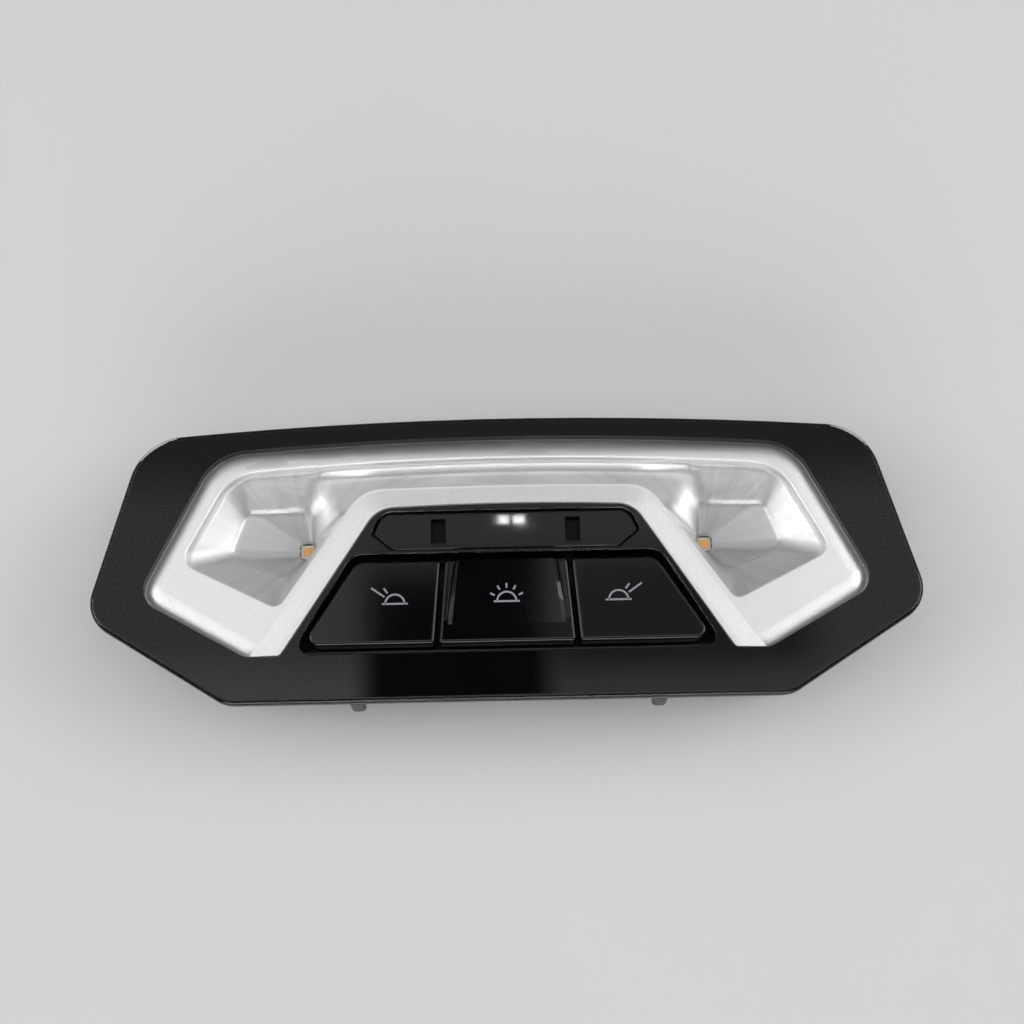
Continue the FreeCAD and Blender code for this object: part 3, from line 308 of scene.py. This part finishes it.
def bright_metal():
    """Metallised plastic: machining streaks fan out from each lamp, with their sheen painted into the colour;
    painted shade darkens it deep in the bowls, and a painted highlight lightens the top of the channel from
    bowl to bowl.
    """
    made = Finish("bright_metal")
    aside = made.math("ABSOLUTE", made.along("X"))
    level = made.along("Z")
    across = made.math("SUBTRACT", aside, LAMP_X)
    upwards = made.math("SUBTRACT", made.along("Y"), LAMP_Y)
    angle = made.math("ARCTAN2", upwards, across)
    streaks = made.add("ShaderNodeTexNoise", noise_dimensions="1D")
    streaks.inputs["Scale"].default_value = 5.0
    streaks.inputs["Detail"].default_value = 5.0
    streaks.inputs["Roughness"].default_value = 0.65
    made.link(angle, streaks.inputs["W"])
    fan = streaks.outputs["Fac"]
    # Painted sheen: the streaks are machining lines, and the sheen along them is painted into the colour
    streak_and_sheen = made.spread(fan, 0.0, 1.0)
    deep = made.blend(streak_and_sheen, (0.40, 0.405, 0.41), (0.50, 0.50, 0.505))
    high = made.blend(streak_and_sheen, (0.62, 0.625, 0.63), (0.76, 0.76, 0.765))
    # Painted shade: the metal is darker deep in the bowls
    coat = made.blend(made.spread(level, 0.0, 1.0, *DEPTH_SHADE_LEVELS), deep, high)
    # Painted highlight: the upper side of the channel, from bowl to bowl, is painted almost white
    highlight_level = made.spread(level, 0.0, 1.0, *HIGHLIGHT_LEVELS)
    highlight_span = made.spread(aside, 1.0, 0.0, *HIGHLIGHT_ENDS)
    made.colour(made.blend(made.math("MULTIPLY", highlight_level, highlight_span), coat, (0.97, 0.97, 0.975)))
    made.set(Metallic=0.85)
    made.roughness(made.spread(made.noise(1.5, detail=4.0), 0.30, 0.40))
    made.bump(fan, 0.03, 0.4)
    made.bump(made.noise(0.2), 0.003)
    return made


def rolled_metal(name, colour, roughness):
    """Sheet or wire metal with fine lines along its length."""
    made = Finish(name)
    lines = made.noise(0.25, detail=3.0, stretch=(0.04, 1.0, 1.0))
    made.colour(made.blend(made.spread(lines, 0.0, 1.0), tinted(colour, 0.82), tinted(colour, 1.1)))
    made.set(Metallic=1.0)
    made.roughness(made.spread(made.noise(2.0, detail=4.0), roughness * 0.8, roughness * 1.25))
    made.bump(lines, 0.004)
    return made


def coated_board():
    """Green board with copper tracks that show through its coat."""
    made = Finish("board_green")
    tracks = made.add("ShaderNodeTexBrick")
    tracks.inputs["Scale"].default_value = 60.0
    tracks.inputs["Mortar Size"].default_value = 0.03
    made.link(made.place, tracks.inputs["Vector"])
    made.colour(made.blend(tracks.outputs["Fac"], (0.003, 0.022, 0.009), (0.008, 0.05, 0.02)))
    made.roughness(made.spread(made.noise(5.0, detail=4.0), 0.3, 0.45))
    made.bump(tracks.outputs["Fac"], 0.02)
    return made


def smoked_guide():
    made = moulded("smoked_guide", (0.004, 0.004, 0.0045), 0.3)
    return made.set(Specular_IOR_Level=0.12)


def phosphor():
    made = Finish("emitter_orange")
    grains = made.noise(0.12, detail=3.0)
    made.colour(made.blend(grains, (0.80, 0.33, 0.05), (0.98, 0.56, 0.14)))
    made.roughness(made.spread(made.noise(0.5), 0.4, 0.6))
    made.bump(grains, 0.01)
    return made


FINISHES = {
    "clear_plastic": clear_plastic(),
    "gloss_black": gloss_black("gloss_black"),
    "satin_silver": satin_silver(),
    "bright_metal": bright_metal(),
    "key_black": moulded("key_black", (0.0015, 0.0015, 0.0018), 0.06, grain_depth_mm=0.0003),
    "housing_dark": moulded("housing_dark", (0.045, 0.045, 0.047), 0.5, grain_mm=0.4, grain_depth_mm=0.02),
    "carrier_grey": moulded("carrier_grey", (0.11, 0.11, 0.112), 0.45),
    "lamp_white": moulded("lamp_white", (0.78, 0.78, 0.75), 0.4, uneven=0.05),
    "emitter_orange": phosphor(),
    "smoked_guide": smoked_guide(),
    "spring_steel": rolled_metal("spring_steel", (0.55, 0.55, 0.56), 0.28),
    "screw_steel": rolled_metal("screw_steel", (0.50, 0.50, 0.48), 0.35),
    "board_green": coated_board(),
    "chip_black": moulded("chip_black", (0.018, 0.018, 0.019), 0.42),
    "can_metal": rolled_metal("can_metal", (0.70, 0.70, 0.71), 0.3),
    "socket_cream": moulded("socket_cream", (0.60, 0.56, 0.46), 0.45, uneven=0.06),
    "contact_tin": rolled_metal("contact_tin", (0.66, 0.63, 0.55), 0.25),
}
SIGN_FINISH = moulded("sign_print", (0.27, 0.28, 0.31), 0.5, uneven=0.06)

for entry in frame["record"]["subparts"]:
    carried = frame["nodes"][entry["node"]]
    carried.data.materials.clear()
    carried.data.materials.append(FINISHES[entry["material_slot"]].material)


# Pieces that only this script makes


def add_piece(name, shape, finish):
    """Turns a finished shape into an object with its material."""
    mesh = bpy.data.meshes.new(name)
    shape.to_mesh(mesh)
    shape.free()
    mesh.materials.append(finish.material)
    piece = bpy.data.objects.new(name, mesh)
    bpy.context.scene.collection.objects.link(piece)
    return piece


# Reflector, whose creases flow as in the real moulding


def thicken_floor(shape):
    """Lowers the underside of the bowls' floors, which are thinner than the even mesh can follow."""
    bmesh.ops.remove_doubles(shape, verts=shape.verts, dist=WELD_DISTANCE * MM)
    underside = []
    for point in shape.verts:
        slopes = [face.normal.z for face in point.link_faces]
        if point.co.z < FLOOR_BELOW * MM and min(slopes) < FACES_DOWN and max(slopes) < FACES_UP:
            underside.append(point)
    bmesh.ops.translate(shape, verts=underside, vec=(0, 0, -FLOOR_EXTRA * MM))


def even_mesh(shape):
    """Gives a closed shape again with faces of about the same size."""
    rough = add_piece("rough_reflector", shape, FINISHES["bright_metal"])
    remesh = rough.modifiers.new("even", "REMESH")
    remesh.mode = "VOXEL"
    remesh.voxel_size = SOFT_MESH * MM
    even = bmesh.new()
    even.from_object(rough, bpy.context.evaluated_depsgraph_get())
    bpy.data.objects.remove(rough)
    return even


def smooth(shape, points):
    bmesh.ops.smooth_vert(shape, verts=points, factor=SOFT_FACTOR,
                          use_axis_x=True, use_axis_y=True, use_axis_z=True)


def flow_distance(point):
    """Gives how far a point is from the nearer line where a bowl meets the channel, in millimetres."""
    x, y, _ = point.co / MM
    nearest_y = min(max(y, FLOW_Y[0]), FLOW_Y[1])
    return math.hypot(abs(x) - FLOW_X, y - nearest_y)


def add_soft_reflector():
    solid = bmesh.new()
    solid.from_mesh(frame["nodes"]["reflector"].data)
    thicken_floor(solid)
    shape = even_mesh(solid)
    for _ in range(SOFT_ROUNDS):
        smooth(shape, shape.verts)
    away = {point: flow_distance(point) for point in shape.verts if point.co.z < RIM_LEVEL * MM}
    for i in range(FLOW_ROUNDS):
        reach = FLOW_REACH * (1 - i / FLOW_ROUNDS)
        smooth(shape, [point for point, distance in away.items() if distance < reach])
    for face in shape.faces:
        face.smooth = True
    reflector = add_piece("soft_reflector", shape, FINISHES["bright_metal"])
    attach(reflector, "lamp")
    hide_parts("reflector")


add_soft_reflector()


# Signs printed on the keys


def bar(first, second):
    """Gives the four corners of a straight stroke, anticlockwise."""
    start, end = Vector(first), Vector(second)
    along = (end - start).normalized()
    aside = Vector((-along.y, along.x)) * SIGN_STROKE / 2
    return [start - aside, end - aside, end + aside, start + aside]


def dome():
    """Gives the outline of the half ring that stands on the base line."""
    half_stroke = SIGN_STROKE / 2
    angles = [math.pi * i / ARC_STEPS for i in range(ARC_STEPS + 1)]
    outer = [Vector((math.cos(a), math.sin(a))) * (SIGN_DOME + half_stroke) for a in angles]
    inner = [Vector((math.cos(a), math.sin(a))) * (SIGN_DOME - half_stroke) for a in reversed(angles)]
    return outer + inner


def sign_strokes(key):
    strokes = [bar((-SIGN_BASE / 2, 0), (SIGN_BASE / 2, 0)), dome()]
    if key == "middle":
        for degrees in RAY_ANGLES:
            way = Vector((math.cos(math.radians(degrees)), math.sin(math.radians(degrees))))
            strokes.append(bar(way * RAY_INNER, way * RAY_OUTER))
        return strokes
    turn = 1 if key == "left" else -1
    for first, second in SIDE_RAYS:
        strokes.append(bar((turn * first[0], first[1]), (turn * second[0], second[1])))
    return strokes


def key_height(key, y):
    """Gives the height of a key's face; the field of the middle key falls towards its foot."""
    if key != "middle":
        return KEY_LEVEL
    share = (y - PAD_FOOT_Y) / (PAD_TOP_Y - PAD_FOOT_Y)
    foot_level = KEY_LEVEL + PAD_FOOT_RISE
    return foot_level + share * (PAD_LEVEL - foot_level)


def add_sign(key):
    """Builds a sign as a slim raised print on its key."""
    shape = bmesh.new()
    for stroke in sign_strokes(key):
        corners = []
        for point in stroke:
            x = SIGN_X[key] + point.x
            y = SIGN_Y + point.y
            corners.append(shape.verts.new(Vector((x, y, key_height(key, y) - SIGN_SINK)) * MM))
        face = shape.faces.new(corners)
        raised = bmesh.ops.extrude_face_region(shape, geom=[face])
        lifted = [part for part in raised["geom"] if isinstance(part, bmesh.types.BMVert)]
        bmesh.ops.translate(shape, verts=lifted, vec=Vector((0, 0, SIGN_THICK * MM)))
    bmesh.ops.recalc_face_normals(shape, faces=shape.faces)
    sign = add_piece(f"{key}_sign", shape, SIGN_FINISH)
    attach(sign, f"{key}_key")


for key in SIGN_X:
    add_sign(key)


# Star drives of the rear screws


def add_drive(number, place):
    """Builds the ring that narrows the round recess of a screw head to a star."""
    shape = bmesh.new()
    rings = []
    for i in range(STAR_STEPS):
        angle = 2 * math.pi * i / STAR_STEPS
        way = Vector((math.cos(angle), math.sin(angle), 0))
        star = STAR_RADIUS + STAR_DEPTH * math.cos(STAR_POINTS * angle)
        ring = []
        for radius, level in zip((DRIVE_RADIUS, star, star, DRIVE_RADIUS), (0, 0, 1, 1)):
            point = Vector((*place, DRIVE_LEVELS[level])) + way * radius
            ring.append(shape.verts.new(point * MM))
        rings.append(ring)
    for ring, following in zip(rings, rings[1:] + rings[:1]):
        for i in range(len(ring)):
            j = (i + 1) % len(ring)
            shape.faces.new((ring[i], ring[j], following[j], following[i]))
    bmesh.ops.recalc_face_normals(shape, faces=shape.faces)
    drive = add_piece(f"screw_drive_{number}", shape, FINISHES["screw_steel"])
    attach(drive, "lamp")


for number, place in enumerate(SCREW_PLACES, start=1):
    add_drive(number, place)


# Floor, light and camera


def add_floor():
    bpy.ops.mesh.primitive_plane_add(size=FLOOR_SIZE, location=(0, 0, 0))
    floor = bpy.context.object
    floor.name = "floor"
    made = Finish("floor_paper")
    clouds = made.noise(160.0, detail=5.0)
    made.colour(made.blend(clouds, (0.69, 0.69, 0.692), (0.74, 0.74, 0.742)))
    made.set(Roughness=0.6, Specular_IOR_Level=0.2)
    made.bump(made.noise(0.6, detail=3.0), 0.01)
    floor.data.materials.append(made.material)


def add_light(name, place, aim, width, height, watts, colour=(1.0, 1.0, 1.0)):
    data = bpy.data.lights.new(name, "AREA")
    data.shape = "RECTANGLE"
    data.size = width
    data.size_y = height
    data.energy = watts
    data.color = colour
    light = bpy.data.objects.new(name, data)
    light.location = place
    light.rotation_mode = "QUATERNION"
    light.rotation_quaternion = (Vector(aim) - Vector(place)).to_track_quat("-Z", "Y")
    bpy.context.scene.collection.objects.link(light)


def set_world():
    """A room with a pale ceiling, whose darker patches the gloss black mirrors."""
    world = bpy.data.worlds.new("room")
    bpy.context.scene.world = world
    world.use_nodes = True
    room = Nodes(world.node_tree)
    way = room.add("ShaderNodeSeparateXYZ")
    room.link(room.add("ShaderNodeTexCoord").outputs["Generated"], way.inputs["Vector"])
    shade = room.blend(room.spread(way.outputs["Z"], 0.0, 1.0, *CEILING_BEGINS, "SMOOTHSTEP"),
                       WALL_COLOUR, CEILING_COLOUR)
    for colour, limits in PATCHES:
        inside = room.math("GREATER_THAN", way.outputs["Z"], 0.0)
        for axis, (middle, half, soft) in limits.items():
            away = room.math("ABSOLUTE", room.math("SUBTRACT", way.outputs[axis], middle))
            fade = room.spread(away, 1.0, 0.0, half - soft, half + soft, "SMOOTHSTEP")
            inside = room.math("MULTIPLY", inside, fade)
        shade = room.blend(inside, shade, colour)
    room.link(shade, world.node_tree.nodes["Background"].inputs["Color"])


def add_camera():
    back = Vector((0, -math.cos(CAMERA_TILT), math.sin(CAMERA_TILT)))
    across = Vector((1, 0, 0))
    upward = back.cross(across)
    turned = across * math.cos(CAMERA_ROLL) - upward * math.sin(CAMERA_ROLL)
    risen = across * math.sin(CAMERA_ROLL) + upward * math.cos(CAMERA_ROLL)
    data = bpy.data.cameras.new("camera")
    data.lens = CAMERA_LENS
    data.clip_start = CAMERA_CLIP
    camera = bpy.data.objects.new("camera", data)
    axes = Matrix((turned, risen, back)).transposed().to_4x4()
    camera.matrix_world = Matrix.Translation(CAMERA_AIM + back * CAMERA_DISTANCE) @ axes
    bpy.context.scene.collection.objects.link(camera)
    bpy.context.scene.camera = camera


add_floor()
set_world()
for name, place, width, height, watts in WINDOWS:
    add_light(name, place, (0, 0, 0), width, height, watts, WINDOW_COLOUR)
for side in (-1, 1):
    x, y, z = FITTING_PLACE
    add_light(f"ceiling_fitting_{side}", (side * x, y, z), (0, y, 0), *FITTING_SIZE, FITTING_WATTS)
add_camera()
bpy.context.scene.view_settings.view_transform = "Standard"
